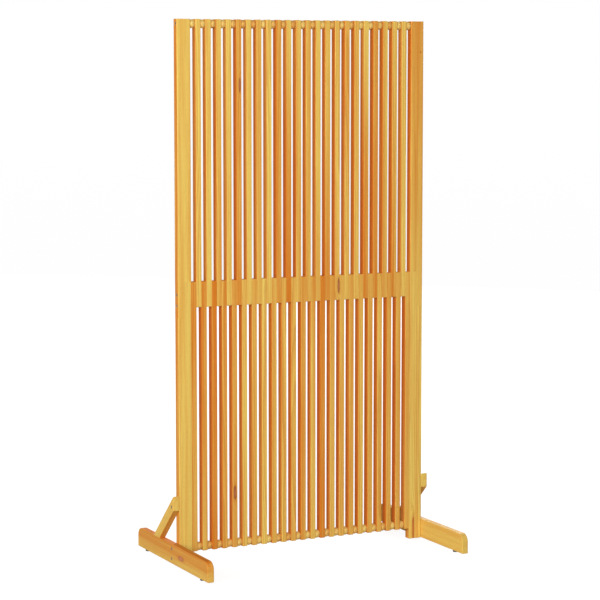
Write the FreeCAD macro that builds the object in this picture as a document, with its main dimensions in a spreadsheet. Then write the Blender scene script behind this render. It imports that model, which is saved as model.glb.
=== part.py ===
import FreeCAD, Part
import os
import re
import Sketcher

# Free-standing garden privacy screen of oiled softwood slats.
#
# Seen from the front: two posts, between them 45 columns of one slat width each.  The
# even columns hold the lower slats, the odd ones the upper slats, and both sets run past
# each other in a closed band at mid-height, like the fingers of two hands.  Where a
# column has no slat, at the very top and bottom, a crowned spacer disc keeps the pitch.
# Three steel rods run across the screen through discs, slats and posts.  Each post is
# two lengths joined by a half-lap at the band, and stands on a foot stayed by a brace.
#
# Frame: +X right, +Y to the rear, +Z up, the floor at Z = 0, and the origin under the
# middle of the screen.  Lengths are in millimetres.

document = FreeCAD.newDocument("GardenPrivacyScreen")
sizes = document.addObject("Spreadsheet::Sheet", "Sizes")

DRIVING_SIZES = (
    ("overall_height", 1800, "floor to the tops of posts and upper slats"),
    ("slat_width", 18.2, "slats, discs and the gaps between them"),
    ("panel_depth", 28.5, "front to back of slats, discs and posts"),
    ("upper_slats", 22, "count"),
    ("lower_slats", 23, "count"),
    ("slat_ease", 1, "chamfer on the long edges of a slat"),
    ("disc_slope", 5, "along the rod, the sloping part of a disc's rim at either face"),
    ("disc_drop", 3.2, "how much nearer the rod that slope ends"),
    ("panel_bottom", 41.5, "floor to the lower ends of the lower slats"),
    ("band_top", 942, "floor to the top of the closed band"),
    ("band_height", 85, "overlap of upper and lower slats"),
    ("post_width", 47.5, "one post, seen from the front"),
    ("post_round", 2.5, "rounding of the long edges of a post"),
    ("lap_length", 120, "length of the half-lap in a post"),
    ("lap_strip", 22, "thickness of the half-lap's outer half"),
    ("foot_length", 600, "front to back"),
    ("foot_height", 66, "of the timber alone"),
    ("foot_thickness", 23, "of feet and braces"),
    ("foot_nose", 28, "radius of the two upper corners of a foot"),
    ("foot_ease", 2.5, "chamfer on the edges of feet and braces"),
    ("brace_width", 35, "square to the brace's length"),
    ("brace_slope", 43, "degrees from the floor"),
    ("brace_top", 233, "floor to the upper tip of a brace"),
    ("glide_diameter", 18, "plastic glide under a foot"),
    ("glide_height", 6, "floor to the underside of the timber"),
    ("glide_ease", 1, "chamfer round the glide's lower edge"),
    ("glide_setback", 65, "end of the foot to the middle of a glide"),
    ("nail_shank", 2.5, "diameter of a glide's nail"),
    ("nail_head", 7, "diameter"),
    ("nail_flange", 1, "thickness of its head"),
    ("nail_recess", 3, "depth of the glide's counterbore, which hides the nail head"),
    ("nail_length", 16, "of the nail inside the foot"),
    ("rod_diameter", 6, "steel tie rod"),
    ("rod_bore", 7, "bore for a rod, across its corners"),
    ("bore_sides", 6, "flats that stand for the round of that bore"),
    ("metal_sides", 8, "flats that stand for the round of metal pieces and their other holes"),
    ("round_sides", 12, "flats that stand for the round of discs, glides and counterbores"),
    ("top_rod_drop", 15.5, "top of the screen to the top rod"),
    ("bottom_rod_rise", 50, "underside of a foot to the bottom rod"),
    ("sink_diameter", 12, "counterbore for a nut or screw head"),
    ("sink_depth", 3, "of that counterbore"),
    ("nut_head", 11, "diameter of a sleeve nut's head"),
    ("nut_barrel", 8, "diameter of its barrel"),
    ("nut_length", 22, "head and barrel"),
    ("rod_engagement", 15, "of a rod's end in its nut"),
    ("head_thickness", 2, "of nut and screw heads"),
    ("screw_head", 10, "diameter of a wood screw's head"),
    ("screw_shank", 5, "diameter of its shank"),
    ("screw_play", 0.2, "between a shank, a barrel or a nail and its hole, on the diameter"),
    ("lap_screw_drop", 36, "middle rod to the screw below it"),
    ("lap_screw_length", 38, "stays within the post"),
    ("foot_screw_rise", 16, "underside of a foot to its lower screw"),
    ("side_screw_length", 50, "through foot or brace into the post"),
    ("stay_sink", 12, "counterbore under a foot, for the screw up into the brace"),
    ("stay_screw_length", 80, "up through the foot into the brace"),
    ("stay_screw_inset", 12, "front edge of the brace's base to that screw"),
)
for row, (alias, value, meaning) in enumerate(DRIVING_SIZES, start=1):
    sizes.set(f"A{row}", meaning)
    sizes.set(f"B{row}", str(value))
    sizes.setAlias(f"B{row}", alias)
document.recompute()

# Sizes that follow from the driving ones.
WORKED_OUT = {
    "columns": "upper_slats + lower_slats",
    "half_field": "columns * slat_width / 2",
    "post_middle": "half_field + post_width / 2",
    "half_panel": "half_field + post_width",
    "foot_middle": "half_panel + foot_thickness / 2",
    "half_span": "half_panel + foot_thickness",
    "foot_top": "glide_height + foot_height",
    "upper_slat_length": "overall_height - band_top + band_height",
    "lower_slat_length": "band_top - panel_bottom",
    "lap_end": "band_top - lap_length",
    "upper_post_length": "overall_height - lap_end",
    "lower_post_length": "band_top - glide_height",
    "top_rod": "overall_height - top_rod_drop",
    "middle_rod": "band_top - band_height / 2",
    "bottom_rod": "glide_height + bottom_rod_rise",
    "lap_screw": "middle_rod - lap_screw_drop",
    "foot_screw": "glide_height + foot_screw_rise",
    "brace_rise": "brace_top - foot_top",
    "brace_cut": "brace_width / cos(brace_slope)",
    "brace_back": "brace_rise / tan(brace_slope)",
    "brace_front": "(brace_rise - brace_cut) / tan(brace_slope)",
    "brace_screw": "brace_top - brace_cut / 2 - panel_depth / 2 * tan(brace_slope)",
    "stay_screw": "brace_front - panel_depth / 2 + stay_screw_inset",
    "barrel_hole": "nut_barrel + screw_play",
    "shank_hole": "screw_shank + screw_play",
    "nail_hole": "nail_shank + screw_play",
    "head_depth": "sink_depth - head_thickness",
    "barrel_depth": "head_depth + nut_length + screw_play",
    "rod_end": "head_depth + nut_length - rod_engagement",
    "glide_offset": "foot_length / 2 - glide_setback",
}
ALIASES = {alias for alias, value, meaning in DRIVING_SIZES}
SIDES = {"left": -1, "right": 1}
X_AXIS, Z_AXIS = FreeCAD.Vector(1, 0, 0), FreeCAD.Vector(0, 0, 1)
TOUCH = 1e-3  # millimetres, or cubic millimetres, that count as nothing

sub_parts = []
cuts = []


def formula(text):
    """Spell a sum of named sizes as an expression on the sheet of sizes."""
    def spell(match):
        word = match.group(0)
        if word in WORKED_OUT:
            return f"({formula(WORKED_OUT[word])})"
        return f"Sizes.{word}" if word in ALIASES else word
    return re.sub(r"[a-z_]+", spell, str(text))


def value(text):
    return float(sizes.evalExpression(formula(text)))


def bind(item, **properties):
    """Bind properties of an object to sums of named sizes; __ stands for a dot."""
    for name, text in properties.items():
        item.setExpression(name.replace("__", "."), formula(text))


def origin_item(body, role):
    return next(item for item in body.Origin.OriginFeatures if item.Role == role)


def new_body(name, x=0, y=0, z=0, points_to=None):
    """Start a piece at a place; its own +Z can be turned to the +X or -X side."""
    body = document.addObject("PartDesign::Body", name)
    if points_to is not None:
        body.Placement = FreeCAD.Placement(
            FreeCAD.Vector(), FreeCAD.Rotation(Z_AXIS, points_to * X_AXIS))
    bind(body, Placement__Base__x=x, Placement__Base__y=y, Placement__Base__z=z)
    return body


def outline(body, plane, corners):
    """Draw a closed polygon whose corners are pairs of sums of named sizes."""
    sketch = body.newObject("Sketcher::SketchObject", "Outline")
    sketch.AttachmentSupport = (origin_item(body, plane), [""])
    sketch.MapMode = "FlatFace"
    places = [[value(text) for text in corner] for corner in corners]
    ends = places[1:] + places[:1]
    for start, end in zip(places, ends):
        sketch.addGeometry(Part.LineSegment(FreeCAD.Vector(*start, 0), FreeCAD.Vector(*end, 0)))
    for line in range(len(corners)):
        following = (line + 1) % len(corners)
        sketch.addConstraint(Sketcher.Constraint("Coincident", line, 2, following, 1))
        for axis, place, text in zip("XY", places[line], corners[line]):
            rule = Sketcher.Constraint(f"Distance{axis}", -1, 1, line, 1, place)
            number = sketch.addConstraint(rule)
            sketch.setExpression(f"Constraints[{number}]", formula(text))
    return sketch


def pad(body, sketch, length, both_ways=False):
    feature = body.newObject("PartDesign::Pad", "Pad")
    feature.Profile = sketch
    feature.SideType = "Symmetric" if both_ways else "One side"
    bind(feature, Length=length)
    return feature


def ease(body, kind, size, wanted, second_size=None):
    """Fillet or chamfer the edges of the piece so far for which wanted(edge) is true."""
    base = body.Tip
    document.recompute()
    names = [f"Edge{number}" for number, edge in enumerate(base.Shape.Edges, start=1)
             if wanted(edge)]
    feature = body.newObject(f"PartDesign::{kind}", kind)
    feature.Base = (base, names)
    bind(feature, **{"Radius" if kind == "Fillet" else "Size": size})
    if second_size is not None:
        feature.ChamferType = "Two distances"
        bind(feature, Size2=second_size)


def runs_along(edge, axis):
    box = edge.BoundBox
    spans = {"X": box.XLength, "Y": box.YLength, "Z": box.ZLength}
    return all(span < TOUCH for name, span in spans.items() if name != axis)


def bar(body, plane, x, y, start, length, diameter, sides="metal_sides", kind="Additive"):
    """Add a round bar square to a plane of the piece; x and y lie in that plane."""
    feature = body.newObject(f"PartDesign::{kind}Prism", "Bar" if kind == "Additive" else "Hole")
    feature.AttachmentSupport = (origin_item(body, plane), [""])
    feature.MapMode = "FlatFace"
    bind(feature, Height=length, Circumradius=f"({diameter}) / 2", Polygon=sides,
         AttachmentOffset__Base__x=x, AttachmentOffset__Base__y=y,
         AttachmentOffset__Base__z=start)
    return feature


def hole(body, plane, x, y, start, depth, diameter, sides="metal_sides"):
    """Cut a round hole square to a plane of the piece."""
    cuts.append(bar(body, plane, x, y, start, depth, diameter, sides, kind="Subtractive"))


def rod_bore(body, width, height):
    """Bore a piece from side to side for a tie rod."""
    hole(body, "YZ_Plane", 0, height, f"-({width}) / 2", width, "rod_bore", "bore_sides")


def hole_from_outside(body, side, width, height, depth, diameter, y=0):
    """Cut a hole from the outer side face of a piece towards the middle of the screen."""
    start = f"{side} * (({width}) / 2 - ({depth}) / 2) - ({depth}) / 2"
    hole(body, "YZ_Plane", y, height, start, depth, diameter)


def counterbore(body, side, width, height, y=0):
    """Sink a head below the outer side face of a piece."""
    start = f"{side} * (({width}) / 2 - sink_depth / 2) - sink_depth / 2"
    hole(body, "YZ_Plane", y, height, start, "sink_depth", "sink_diameter", "round_sides")


def hole_from_below(body, y, depth, diameter, sides="metal_sides"):
    hole(body, "XY_Plane", 0, y, 0, depth, diameter, sides)


def gather(name, bodies):
    """Put identical loose pieces into one group of separate solids."""
    group = document.addObject("Part::Compound", name)
    group.Links = bodies
    sub_parts.append(group)


# Slats: planed bars with chamfered long edges, each bored near both of the rods it hangs on.

def slat(name, column, bottom, length, rod_heights):
    body = new_body(name, x=f"({column} - (columns - 1) / 2) * slat_width", z=bottom)
    corners = [(f"{x} * slat_width / 2", f"{y} * panel_depth / 2")
               for x, y in ((-1, -1), (1, -1), (1, 1), (-1, 1))]
    pad(body, outline(body, "XY_Plane", corners), length)
    ease(body, "Chamfer", "slat_ease", lambda edge: runs_along(edge, "Z"))
    for height in rod_heights:
        rod_bore(body, "slat_width", f"{height} - ({bottom})")
    sub_parts.append(body)


for number in range(int(value("upper_slats"))):
    slat(f"upper_slat_{number + 1:02d}", 2 * number + 1, "band_top - band_height",
         "upper_slat_length", ("middle_rod", "top_rod"))

for number in range(int(value("lower_slats"))):
    slat(f"lower_slat_{number + 1:02d}", 2 * number, "panel_bottom",
         "lower_slat_length", ("bottom_rod", "middle_rod"))


# Spacer discs: turned like flat beads, as thick as a slat is wide, with rims that slope in
# towards both faces.  They are threaded on the top and bottom rods in every column that has
# no slat there.

def spacer_discs(name, first_column, count, rod_height):
    body = new_body(name, x=f"({first_column} - (columns - 1) / 2) * slat_width", z=rod_height)
    bar(body, "YZ_Plane", 0, 0, "-slat_width / 2", "slat_width", "panel_depth", "round_sides")
    ease(body, "Chamfer", "disc_slope", lambda edge: edge.BoundBox.XLength < TOUCH, "disc_drop")
    rod_bore(body, "slat_width", 0)
    document.recompute()
    row = body.newObject("PartDesign::LinearPattern", "Row")
    row.TransformMode = "Whole shape"
    row.Direction = (origin_item(body, "X_Axis"), [""])
    bind(row, Length=f"(2 * {count} - 2) * slat_width", Occurrences=count)
    body.Tip = row
    sub_parts.append(body)


spacer_discs("top_spacer_discs", 0, "lower_slats", "top_rod")
spacer_discs("bottom_spacer_discs", 1, "upper_slats", "bottom_rod")


# Posts: an upper and a lower length on each side, each notched to half its width over
# the half-lap.  The upper one keeps the outer half, the lower one the inner half.

def post(name, side, bottom, corners):
    body = new_body(name, x=f"{side} * post_middle", z=bottom)
    placed = [(f"{side} * ({x})", z) for x, z in corners]
    pad(body, outline(body, "XZ_Plane", placed), "panel_depth", both_ways=True)
    ease(body, "Fillet", "post_round", lambda edge: runs_along(edge, "Z")
         and abs(abs(edge.BoundBox.Center.x) - value("post_width / 2")) < TOUCH)
    sub_parts.append(body)
    return body


def nut_place(body, side, width, height, entry=0):
    """Make room for a nut's barrel; entry is how deep it already is at the outer face."""
    hole_from_outside(body, side, width, height, f"barrel_depth - {entry}", "barrel_hole")


OUTER, INNER = "post_width / 2", "-post_width / 2"
LAP_FACE = "post_width / 2 - lap_strip"

for side_name, side in SIDES.items():
    upper = post(f"{side_name}_upper_post", side, "lap_end", [
        (OUTER, "0"), (LAP_FACE, "0"), (LAP_FACE, "lap_length"),
        (INNER, "lap_length"), (INNER, "upper_post_length"), (OUTER, "upper_post_length")])
    for rod in ("top_rod", "middle_rod"):
        height = f"{rod} - lap_end"
        rod_bore(upper, "post_width", height)
        nut_place(upper, side, "post_width", height)
        counterbore(upper, side, "post_width", height)
    height = "lap_screw - lap_end"
    counterbore(upper, side, "post_width", height)
    hole_from_outside(upper, side, "post_width", height, "lap_strip", "shank_hole")

    shoulder = "lap_end - glide_height"
    lower = post(f"{side_name}_lower_post", side, "glide_height", [
        (OUTER, "0"), (OUTER, shoulder), (LAP_FACE, shoulder),
        (LAP_FACE, "lower_post_length"), (INNER, "lower_post_length"), (INNER, "0")])
    for rod, entry in (("middle_rod", "0"), ("bottom_rod", "foot_thickness")):
        height = f"{rod} - glide_height"
        rod_bore(lower, "post_width", height)
        nut_place(lower, side, "post_width", height, entry)
    hole_from_outside(lower, side, "post_width", "lap_screw - glide_height",
                      "sink_depth + lap_screw_length", "shank_hole")
    for screw in ("foot_screw", "brace_screw"):
        hole_from_outside(lower, side, "post_width", f"{screw} - glide_height",
                          "sink_depth + side_screw_length - foot_thickness", "shank_hole")


# Feet: flat boards on edge against the outer faces of the posts, with rounded upper
# corners.  Glides are nailed under both ends.

def lies_in_side_face(edge):
    box = edge.BoundBox
    return box.XLength < TOUCH and abs(abs(box.Center.x) - value("foot_thickness / 2")) < TOUCH


def foot(name, side):
    body = new_body(name, x=f"{side} * foot_middle", z="glide_height")
    corners = [(f"{y} * foot_length / 2", z) for y, z in (
        (-1, "0"), (1, "0"), (1, "foot_height"), (-1, "foot_height"))]
    pad(body, outline(body, "YZ_Plane", corners), "foot_thickness", both_ways=True)
    ease(body, "Fillet", "foot_nose", lambda edge: runs_along(edge, "X")
         and abs(edge.BoundBox.ZMin - value("foot_height")) < TOUCH)
    ease(body, "Chamfer", "foot_ease", lies_in_side_face)
    width = "foot_thickness"
    for height, diameter in (("bottom_rod_rise", "barrel_hole"),
                             ("foot_screw_rise", "shank_hole")):
        counterbore(body, side, width, height)
        hole_from_outside(body, side, width, height, width, diameter)
    hole_from_below(body, "stay_screw", "stay_sink", "sink_diameter", "round_sides")
    hole_from_below(body, "stay_screw", "foot_height", "shank_hole")
    for end in (-1, 1):
        hole_from_below(body, f"{end} * glide_offset", "nail_length", "nail_hole")
    sub_parts.append(body)


# Braces: short bars that stay the posts from behind.  The upper end is cut upright,
# flush with the front of the post, and the lower end level, to sit on the foot.

def brace(name, side):
    front = "-panel_depth / 2"
    body = new_body(name, x=f"{side} * foot_middle", y=front, z="foot_top")
    corners = [("0", "brace_rise - brace_cut"), ("0", "brace_rise"),
               ("brace_back", "0"), ("brace_front", "0")]
    pad(body, outline(body, "YZ_Plane", corners), "foot_thickness", both_ways=True)
    ease(body, "Chamfer", "foot_ease",
         lambda edge: lies_in_side_face(edge) and edge.BoundBox.ZMax > TOUCH)
    height = "brace_screw - foot_top"
    width = "foot_thickness"
    middle = "panel_depth / 2"
    counterbore(body, side, width, height, middle)
    hole_from_outside(body, side, width, height, width, "shank_hole", middle)
    hole_from_below(body, "brace_front + stay_screw_inset",
                    "stay_sink + stay_screw_length - foot_height", "shank_hole")
    sub_parts.append(body)


for side_name, side in SIDES.items():
    foot(f"{side_name}_foot", side)
    brace(f"{side_name}_brace", side)


# Tie rods and their sleeve nuts.  The bottom rod also holds the feet, so it is longer.

def tie_rod(name, height, outer_face):
    body = new_body(name, z=height)
    reach = f"({outer_face} - rod_end)"
    bar(body, "YZ_Plane", 0, 0, f"-{reach}", f"2 * {reach}", "rod_diameter")
    return body


def headed(name, x, y, z, points_to, head, shank, length):
    """A head with a straight shank or barrel, laid from the head's outer face inwards."""
    body = new_body(name, x=x, y=y, z=z, points_to=points_to)
    bar(body, "XY_Plane", 0, 0, 0, "head_thickness", head)
    bar(body, "XY_Plane", 0, 0, 0, length, shank)
    return body


def sleeve_nut(name, side, height, outer_face):
    """The nut's blind thread is a plain bore, filled by the end of the rod."""
    body = headed(name, f"{side} * ({outer_face} - head_depth)", 0, height, -side,
                  "nut_head", "nut_barrel", "nut_length")
    hole(body, "XY_Plane", 0, 0, "nut_length - rod_engagement", "rod_engagement",
         "rod_diameter")
    return body


RODS = (("top", "top_rod", "half_panel"),
        ("middle", "middle_rod", "half_panel"),
        ("bottom", "bottom_rod", "half_span"))

gather("tie_rods", [tie_rod(f"{name}_tie_rod", height, outer_face)
                    for name, height, outer_face in RODS])
gather("sleeve_nuts", [sleeve_nut(f"{side_name}_{name}_nut", side, height, outer_face)
                       for name, height, outer_face in RODS
                       for side_name, side in SIDES.items()])


# Wood screws: one below the middle rod through each half-lap, one through each foot,
# one through each brace, and one up through each foot into the end of the brace.

def wood_screw(name, length, x, y, z, points_to=None):
    return headed(name, x, y, z, points_to, "screw_head", "screw_shank", length)


screws = []
for side_name, side in SIDES.items():
    for name, length, height, outer_face in (
            ("lap", "lap_screw_length", "lap_screw", "half_panel"),
            ("foot", "side_screw_length", "foot_screw", "half_span"),
            ("brace", "side_screw_length", "brace_screw", "half_span")):
        screws.append(wood_screw(f"{side_name}_{name}_screw", length,
                                 f"{side} * ({outer_face} - head_depth)", 0, height, -side))
    screws.append(wood_screw(f"{side_name}_stay_screw", "stay_screw_length",
                             f"{side} * foot_middle", "stay_screw",
                             "glide_height + stay_sink - head_thickness"))
gather("wood_screws", screws)


# Glides: plastic buttons with a nail through the middle, two under each foot.

def glide(name, x, y):
    body = new_body(name, x=x, y=y)
    bar(body, "XY_Plane", 0, 0, 0, "glide_height", "glide_diameter", "round_sides")
    ease(body, "Chamfer", "glide_ease", lambda edge: edge.BoundBox.ZMax < TOUCH)
    hole(body, "XY_Plane", 0, 0, 0, "glide_height", "nail_hole")
    hole(body, "XY_Plane", 0, 0, 0, "nail_recess", "nail_head + screw_play")
    return body


def glide_nail(name, x, y):
    reach = "glide_height - nail_recess + nail_length"
    body = new_body(name, x=x, y=y, z="nail_recess")
    bar(body, "XY_Plane", 0, 0, "-nail_flange", "nail_flange", "nail_head")
    bar(body, "XY_Plane", 0, 0, "-nail_flange", f"nail_flange + {reach}", "nail_shank")
    return body


glide_places = [(f"{side_name}_{end_name}", f"{side} * foot_middle", f"{end} * glide_offset")
                for side_name, side in SIDES.items()
                for end_name, end in (("front", -1), ("rear", 1))]
gather("glides", [glide(f"{name}_glide", x, y) for name, x, y in glide_places])
gather("glide_nails", [glide_nail(f"{name}_nail", x, y) for name, x, y in glide_places])

document.recompute()

for item in document.Objects:
    if "Invalid" in item.State or "Error" in item.State:
        raise RuntimeError(f"{item.Name} did not recompute: {item.State}")
for cut in cuts:
    if cut.Shape.Volume > cut.BaseFeature.Shape.Volume - TOUCH:
        raise RuntimeError(f"{cut.Name} removes nothing")
for sub_part in sub_parts:
    if sub_part.Shape.isNull() or not sub_part.Shape.isValid():
        raise RuntimeError(f"{sub_part.Label} has no sound solid")

os.makedirs("parts", exist_ok=True)
for sub_part in sub_parts:
    sub_part.Shape.exportStep(f"parts/{sub_part.Label}.step")
print(f"{len(sub_parts)} nodes written")
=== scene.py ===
import math

import bpy
import numpy as np
from mathutils import Matrix, Vector


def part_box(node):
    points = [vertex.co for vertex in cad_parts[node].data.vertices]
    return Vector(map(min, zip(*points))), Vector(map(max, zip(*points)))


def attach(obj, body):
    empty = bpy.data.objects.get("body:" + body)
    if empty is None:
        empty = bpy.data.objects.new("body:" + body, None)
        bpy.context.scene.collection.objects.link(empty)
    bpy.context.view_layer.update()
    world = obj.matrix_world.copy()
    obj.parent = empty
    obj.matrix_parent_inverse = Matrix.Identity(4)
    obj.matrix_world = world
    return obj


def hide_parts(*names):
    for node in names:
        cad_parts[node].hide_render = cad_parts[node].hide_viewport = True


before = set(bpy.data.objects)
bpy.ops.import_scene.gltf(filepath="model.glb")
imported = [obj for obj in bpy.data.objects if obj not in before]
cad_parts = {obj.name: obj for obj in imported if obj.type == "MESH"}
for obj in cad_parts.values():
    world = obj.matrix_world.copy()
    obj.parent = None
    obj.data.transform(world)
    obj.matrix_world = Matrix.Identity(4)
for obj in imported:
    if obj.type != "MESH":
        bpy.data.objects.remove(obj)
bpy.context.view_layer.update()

# Garden privacy screen of oiled softwood: 45 slats on three tie rods between two half-lapped
# posts, on two feet with braces.  Metres; +X right, +Y to the rear, +Z up, floor at Z = 0.


# ---- Slats ---------------------------------------------------------------------------------
# Planed bars with rounded-over edges.  The upper ones hang on the top rod, the lower ones sit
# on the bottom rod, and both sets pass each other on the middle rod to make the closed band.

X_AXIS, Y_AXIS, Z_AXIS = np.eye(3)
SLAT_ROUND = 0.0012
END_ROUND = 0.0025
ROUND_STEPS = 4
SHARP_ANGLE = math.radians(38)
ROD_RADIUS = 0.003
BORE_RADIUS = 0.0034
HOLE_SIDES = 24
OVERRUN = 0.002
LONG_EDGE = 0.1
PITH_DISTANCES = (0.035, 0.11)
TREE_HEIGHT = 40


def span(node):
    """Give the lowest and highest corner of a piece as arrays."""
    low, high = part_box(node)
    return np.array(low), np.array(high)


def made(name, *shells):
    """Make one object at the origin from shells, each an array of points and its faces."""
    points, faces, count = [], [], 0
    for shell_points, shell_faces in shells:
        points.append(shell_points)
        faces += [[count + corner for corner in face] for face in shell_faces]
        count += len(shell_points)
    mesh = bpy.data.meshes.new(name)
    mesh.from_pydata(np.concatenate(points).tolist(), [], faces)
    piece = bpy.data.objects.new(name, mesh)
    bpy.context.scene.collection.objects.link(piece)
    return piece


def rectangle(low, high):
    """The four corners of a level rectangle, anticlockwise from above."""
    return np.array([[low[0], low[1]], [high[0], low[1]], [high[0], high[1]], [low[0], high[1]]])


def prism(outline, along, start, stop):
    """Carry a closed outline straight along axis 0, 1 or 2.

    Point i of the outline, at start and at stop on that axis, lies at outline[i] on the two axes
    that follow it in the round X, Y, Z, X.  An anticlockwise outline gives outward faces."""
    count = len(outline)
    points = np.empty((2, count, 3))
    points[:, :, (along + 1) % 3] = outline[:, 0]
    points[:, :, (along + 2) % 3] = outline[:, 1]
    points[:, :, along] = [[start], [stop]]
    corner = np.arange(count)
    following = np.roll(corner, -1)
    sides = np.stack([corner, following, following + count, corner + count], axis=1)
    ends = [corner[::-1].tolist(), (corner + count).tolist()]
    return points.reshape(-1, 3), sides.tolist() + ends


def turned(radii, heights, base, axis, sides, hollow=False):
    """Turn a profile about an axis.

    Ring j, side k lies at base + heights[j] * axis + radii[j, k] * (cos a * u + sin a * v), with
    a = 2 pi k / sides, and u, v square to the axis.  A hollow shape's last ring meets its first
    one; any other is closed by a flat face at each end."""
    axis = np.asarray(axis, float)
    u = X_AXIS if abs(axis[2]) > 0.5 else Z_AXIS
    v = np.cross(axis, u)
    radii = np.asarray(radii, float)
    radii = radii[:, None] if radii.ndim == 1 else radii
    angles = 2 * math.pi * np.arange(sides) / sides
    spokes = np.outer(np.cos(angles), u) + np.outer(np.sin(angles), v)
    points = base + np.asarray(heights)[:, None, None] * axis + radii[:, :, None] * spokes
    rings = len(radii)
    ring = np.arange(rings if hollow else rings - 1)[:, None]
    side = np.arange(sides)[None, :]
    upper, following = (ring + 1) % rings, (side + 1) % sides
    quads = np.stack([ring * sides + side, ring * sides + following,
                      upper * sides + following, upper * sides + side], axis=-1).reshape(-1, 4)
    faces = quads.tolist()
    if not hollow:
        first = np.arange(sides)
        faces += [first[::-1].tolist(), (first + (rings - 1) * sides).tolist()]
    return points.reshape(-1, 3), faces


def places(mesh):
    """The points of a mesh as an array."""
    found = np.empty(3 * len(mesh.vertices), np.float32)
    mesh.vertices.foreach_get("co", found)
    return found.reshape(-1, 3).astype(float)


def settle(piece):
    """Make a piece's modifiers part of its mesh."""
    evaluated = piece.evaluated_get(bpy.context.evaluated_depsgraph_get())
    mesh = bpy.data.meshes.new_from_object(evaluated)
    mesh.name = piece.name
    piece.modifiers.clear()
    piece.data = mesh


def round_edges(piece, radius_of):
    """Round the edges of a piece over; radius_of gives the radii from the edges' two ends."""
    mesh = piece.data
    ends = np.empty(2 * len(mesh.edges), np.int32)
    mesh.edges.foreach_get("vertices", ends)
    ends = places(mesh)[ends.reshape(-1, 2)]
    radii = radius_of(ends[:, 0], ends[:, 1])
    weights = mesh.attributes.new("bevel_weight_edge", "FLOAT", "EDGE")
    weights.data.foreach_set("value", (radii / radii.max()).astype(np.float32))
    rounding = piece.modifiers.new("Rounding", "BEVEL")
    rounding.width = radii.max()
    rounding.segments = ROUND_STEPS
    rounding.limit_method = "WEIGHT"
    settle(piece)


def drill(piece, *holes):
    """Cut closed shells out of a piece."""
    drills = made("drills", *holes)
    cut = piece.modifiers.new("Holes", "BOOLEAN")
    cut.object = drills
    cut.solver = "MANIFOLD"
    settle(piece)
    bpy.data.objects.remove(drills)


def smooth(piece):
    """Shade a piece smoothly, except across its sharp edges, and keep its flat faces flat."""
    piece.data.shade_smooth()
    piece.data.set_sharp_from_angle(angle=SHARP_ANGLE)
    flats = piece.modifiers.new("Flat faces", "WEIGHTED_NORMAL")
    flats.keep_sharp = True


def sawn(points, number, middle, along, through):
    """Where the points of a board lay in its log, on the axes (across, through, along).

    The pith is the third axis.  The board's middle lies at a random bearing, distance and height
    in the log, which its number settles."""
    chance = np.random.default_rng(number)
    bearing = chance.uniform(0, 2 * math.pi)
    distance = chance.uniform(*PITH_DISTANCES)
    in_log = np.array([distance * math.cos(bearing), distance * math.sin(bearing),
                       chance.uniform(0, TREE_HEIGHT)])
    axes = np.array([np.cross(through, along), through, along])
    return (points - middle) @ axes.T + in_log


def note_wood(piece, log, tones):
    """Keep with each point of a piece its place in the log, and how dark the wood is there."""
    mesh = piece.data
    mesh.attributes.new("log", "FLOAT_VECTOR", "POINT").data.foreach_set(
        "vector", log.astype(np.float32).ravel())
    mesh.attributes.new("tone", "FLOAT", "POINT").data.foreach_set(
        "value", np.broadcast_to(tones, len(log)).astype(np.float32))


def lay_grain(piece, number, bottom_tone, top_tone, along=Z_AXIS, through=Y_AXIS):
    """Saw a piece from its own log, with a tone that changes evenly from bottom to top."""
    points = places(piece.data)
    low, high = points.min(axis=0), points.max(axis=0)
    tones = np.interp(points[:, 2], [low[2], high[2]], [bottom_tone, top_tone])
    note_wood(piece, sawn(points, number, (low + high) / 2, along, through), tones)


def wire(tree, value, socket):
    """Feed a socket from another one, or set it to a plain value."""
    if isinstance(value, bpy.types.NodeSocket):
        tree.links.new(value, socket)
    else:
        socket.default_value = value


def math_node(tree, operation, *values):
    """Give the socket of a number worked out from other numbers."""
    node = tree.nodes.new("ShaderNodeMath")
    node.operation = operation
    for value, socket in zip(values, node.inputs):
        wire(tree, value, socket)
    return node.outputs[0]


def vector_node(tree, operation, *values):
    """Give the socket of a vector, length or dot product worked out from vectors."""
    node = tree.nodes.new("ShaderNodeVectorMath")
    node.operation = operation
    for value, socket in zip(values, node.inputs):
        wire(tree, value, socket)
    return node.outputs["Value" if operation in ("LENGTH", "DOT_PRODUCT") else "Vector"]


def mixed(tree, share, first, second):
    """Mix two colours: all the first at a share of 0, all the second at 1."""
    node = tree.nodes.new("ShaderNodeMix")
    node.data_type = "RGBA"
    wire(tree, share, node.inputs[0])
    wire(tree, first, node.inputs[6])
    wire(tree, second, node.inputs[7])
    return node.outputs[2]


def rising(tree, value, start, stop, low=0.0, high=1.0):
    """Go smoothly from low to high while a value goes from start to stop."""
    node = tree.nodes.new("ShaderNodeMapRange")
    node.interpolation_type = "SMOOTHSTEP"
    for given, socket in zip((value, start, stop, low, high), node.inputs):
        wire(tree, given, socket)
    return node.outputs[0]


def falling(tree, value, start, stop):
    """Go smoothly from 1 to 0 while a value goes from start to stop."""
    return rising(tree, value, start, stop, low=1.0, high=0.0)


def swing(tree, value, width):
    """Let a value from 0 to 1 swing about nothing: width times the value less a half."""
    return math_node(tree, "MULTIPLY", math_node(tree, "SUBTRACT", value, 0.5), width)


def noise(tree, place, per_metre, detail=2.0, roughness=0.5):
    """Noise from 0 to 1, whose scale differs along the three axes of the place."""
    node = tree.nodes.new("ShaderNodeTexNoise")
    node.inputs["Scale"].default_value = 1.0
    node.inputs["Detail"].default_value = detail
    node.inputs["Roughness"].default_value = roughness
    wire(tree, vector_node(tree, "MULTIPLY", place, per_metre), node.inputs["Vector"])
    return node.outputs[0]


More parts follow.
